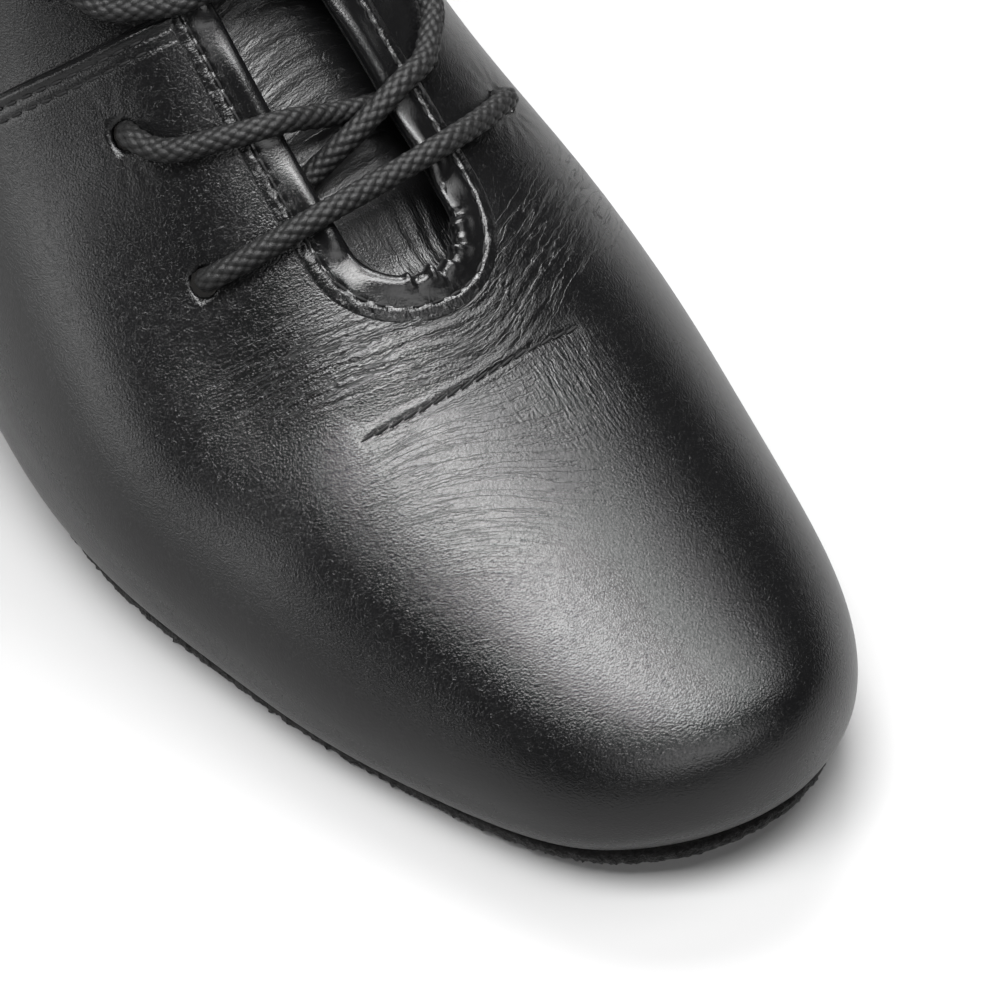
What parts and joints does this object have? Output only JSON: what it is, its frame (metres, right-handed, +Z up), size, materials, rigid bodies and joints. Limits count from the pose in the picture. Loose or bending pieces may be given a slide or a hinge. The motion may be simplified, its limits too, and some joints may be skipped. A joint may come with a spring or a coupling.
{
  "type": "folk dance boot",
  "caption": "Black leather lace-up ankle boot for folk dance, right foot: hollow upper on a low heel, thin suede sole, sunk tongue and round cord lacing over an open throat.",
  "frame": {"origin": "on the floor under the middle of the boot's overall length and width", "axes": "+Z up from the floor, toe towards -Y, heel towards +Y, medial side (big toe) towards +X"},
  "size_m": [0.0901, 0.2708, 0.1657],
  "materials": {
    "upper_leather": "black grained leather with a satin gloss",
    "tongue_leather": "soft black leather, lightly wrinkled",
    "suede_sole": "black suede with a rough cut edge",
    "heel_block": "black stacked leather, satin edge",
    "insole_lining": "dark matt lining leather",
    "lace_cord": "round braided black cord"
  },
  "bodies": {
    "root": {"outsole": "suede_sole", "heel": "heel_block", "upper": "upper_leather", "insole": "insole_lining", "tongue": "tongue_leather", "lace_bar_1": "lace_cord", "lace_cross_2": "lace_cord", "lace_cross_3": "lace_cord", "lace_cross_4": "lace_cord", "lace_cross_5": "lace_cord", "lace_cross_6": "lace_cord"}
  },
  "joints": []
}
